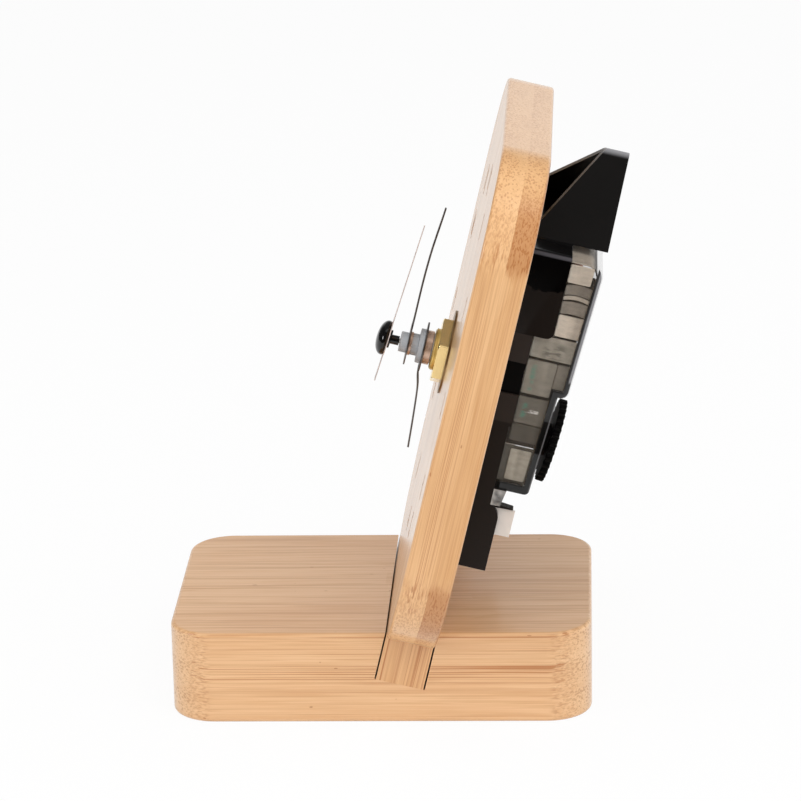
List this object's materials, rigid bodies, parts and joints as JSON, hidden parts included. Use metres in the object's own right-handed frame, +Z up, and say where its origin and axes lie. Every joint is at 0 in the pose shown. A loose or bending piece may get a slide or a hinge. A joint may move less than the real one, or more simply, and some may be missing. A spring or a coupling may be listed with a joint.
{
  "type": "desk clock",
  "caption": "Bamboo desk clock: a rounded dial plate leans back in a slotted block and carries a quartz movement with hands, a clear rear cover, a hanger arch and a setting knob.",
  "frame": {"origin": "under the middle of the base block, on the surface that it stands on", "axes": "+Z up, the dial looks along -Y, +X to the right of someone who reads the dial"},
  "size_m": [0.1, 0.0959, 0.1221],
  "materials": {
    "base_bamboo": "sanded bamboo, clear matt lacquer",
    "plate_bamboo": "sanded bamboo, clear matt lacquer",
    "black_plastic": "moulded, fine sheen",
    "clear_plastic": "clear smoked moulding",
    "brass": "turned",
    "steel": "plain",
    "grey_plastic": "moulded",
    "white_plastic": "moulded",
    "hand_steel": "stamped",
    "second_metal": "stamped",
    "gloss_black": "moulded, glossy",
    "magnet": "sintered",
    "copper": "enamelled wire",
    "board_green": "laminate",
    "nickel": "nickel plated"
  },
  "bodies": {
    "base_body": {"base": "base_bamboo"},
    "head": {"dial_plate": "plate_bamboo", "front_shell": "black_plastic", "rear_cover": "clear_plastic", "threaded_bushing": "brass", "washer": "steel", "hex_nut": "brass", "stator_plate": "steel", "coil_core": "steel", "coil_bobbin": "white_plastic", "coil_winding": "copper", "core_screws": "steel", "circuit_board": "board_green", "chip_cap": "black_plastic", "quartz_can": "steel", "plus_contact": "nickel", "minus_contact": "nickel"},
    "minute_body": {"minute_pipe": "grey_plastic", "minute_collet": "brass", "minute_hand": "hand_steel", "minute_nut": "grey_plastic"},
    "hour_body": {"hour_wheel": "grey_plastic", "hour_collet": "brass", "hour_hand": "hand_steel", "hour_ring": "grey_plastic"},
    "minute_wheel_body": {"minute_wheel": "white_plastic"},
    "knob_body": {"set_knob": "black_plastic"},
    "second_body": {"second_wheel": "white_plastic", "second_tube": "gloss_black", "second_hand": "second_metal", "second_cap": "gloss_black"},
    "third_body": {"third_wheel": "white_plastic"},
    "centre_body": {"centre_wheel": "white_plastic"},
    "intermediate_body": {"intermediate_wheel": "white_plastic"},
    "rotor_body": {"rotor_pinion": "white_plastic", "rotor_magnet": "magnet"}
  },
  "joints": [
    {"name": "plate_lift", "type": "slide", "parent": "base_body", "child": "head", "axis": [0, 0.2385, 0.9711], "range_m": [0, 0.0128]},
    {"name": "minute_spin", "type": "hinge", "parent": "head", "child": "minute_body", "pos_m": [0, 0.02757, 0.06751], "axis": [0, 0.9711, -0.2385], "continuous": true},
    {"name": "hour_spin", "type": "hinge", "parent": "head", "child": "hour_body", "pos_m": [0, 0.02757, 0.06751], "axis": [0, 0.9711, -0.2385], "continuous": true},
    {"name": "minute_wheel_spin", "type": "hinge", "parent": "head", "child": "minute_wheel_body", "pos_m": [0.00572, 0.02592, 0.06076], "axis": [0, 0.9711, -0.2385], "continuous": true},
    {"name": "knob_spin", "type": "hinge", "parent": "head", "child": "knob_body", "pos_m": [0, 0.02426, 0.05401], "axis": [0, 0.9711, -0.2385], "continuous": true},
    {"name": "second_spin", "type": "hinge", "parent": "head", "child": "second_body", "pos_m": [0, 0.02757, 0.06751], "axis": [0, 0.9711, -0.2385], "continuous": true},
    {"name": "third_spin", "type": "hinge", "parent": "head", "child": "third_body", "pos_m": [-0.00952, 0.02652, 0.0632], "axis": [0, 0.9711, -0.2385], "continuous": true},
    {"name": "centre_spin", "type": "hinge", "parent": "head", "child": "centre_body", "pos_m": [0, 0.02757, 0.06751], "axis": [0, 0.9711, -0.2385], "continuous": true},
    {"name": "intermediate_spin", "type": "hinge", "parent": "head", "child": "intermediate_body", "pos_m": [0.00525, 0.02974, 0.07634], "axis": [0, 0.9711, -0.2385], "continuous": true},
    {"name": "rotor_spin", "type": "hinge", "parent": "head", "child": "rotor_body", "pos_m": [0.01347, 0.03046, 0.07925], "axis": [0, 0.9711, -0.2385], "continuous": true}
  ],
  "couplings": [
    {"joint": "minute_wheel_spin", "follows": "minute_spin", "ratio": -0.33333},
    {"joint": "hour_spin", "follows": "minute_spin", "ratio": 0.083333},
    {"joint": "knob_spin", "follows": "minute_spin", "ratio": 1},
    {"joint": "third_spin", "follows": "second_spin", "ratio": -0.13333},
    {"joint": "centre_spin", "follows": "second_spin", "ratio": 0.016667},
    {"joint": "intermediate_spin", "follows": "second_spin", "ratio": -5},
    {"joint": "rotor_spin", "follows": "second_spin", "ratio": 30}
  ]
}
